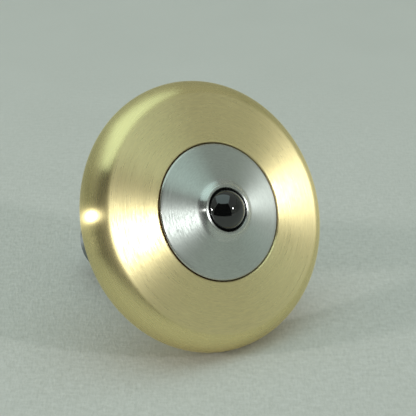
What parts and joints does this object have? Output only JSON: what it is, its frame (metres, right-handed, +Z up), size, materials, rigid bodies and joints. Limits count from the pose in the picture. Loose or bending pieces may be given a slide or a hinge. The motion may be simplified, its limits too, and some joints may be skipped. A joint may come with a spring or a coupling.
{
  "type": "spinning top",
  "caption": "Finger-spun top: heavy rounded disc flywheel clamped between a conical hub with a ball tip and a waisted handle stem, shown lying at rest.",
  "frame": {"origin": "on the floor, under the centre of the bounding box, with the top lying at rest on its rim and the end of its stem", "axes": "+Z up; the spin axis lies in the XZ plane, 28.74 degrees above the floor, with the tip towards +X; +Y across the flywheel"},
  "size_m": [0.0308, 0.032, 0.0288],
  "materials": {
    "brass": "satin, turned in fine circles",
    "hub_steel": "satin, turned in fine circles, polished lip",
    "black_ceramic": "polished, near-black technical ceramic",
    "stem_steel": "fine turned"
  },
  "bodies": {
    "root": {"flywheel": "brass", "hub": "hub_steel", "tip_ball": "black_ceramic", "stem": "stem_steel"}
  },
  "joints": []
}
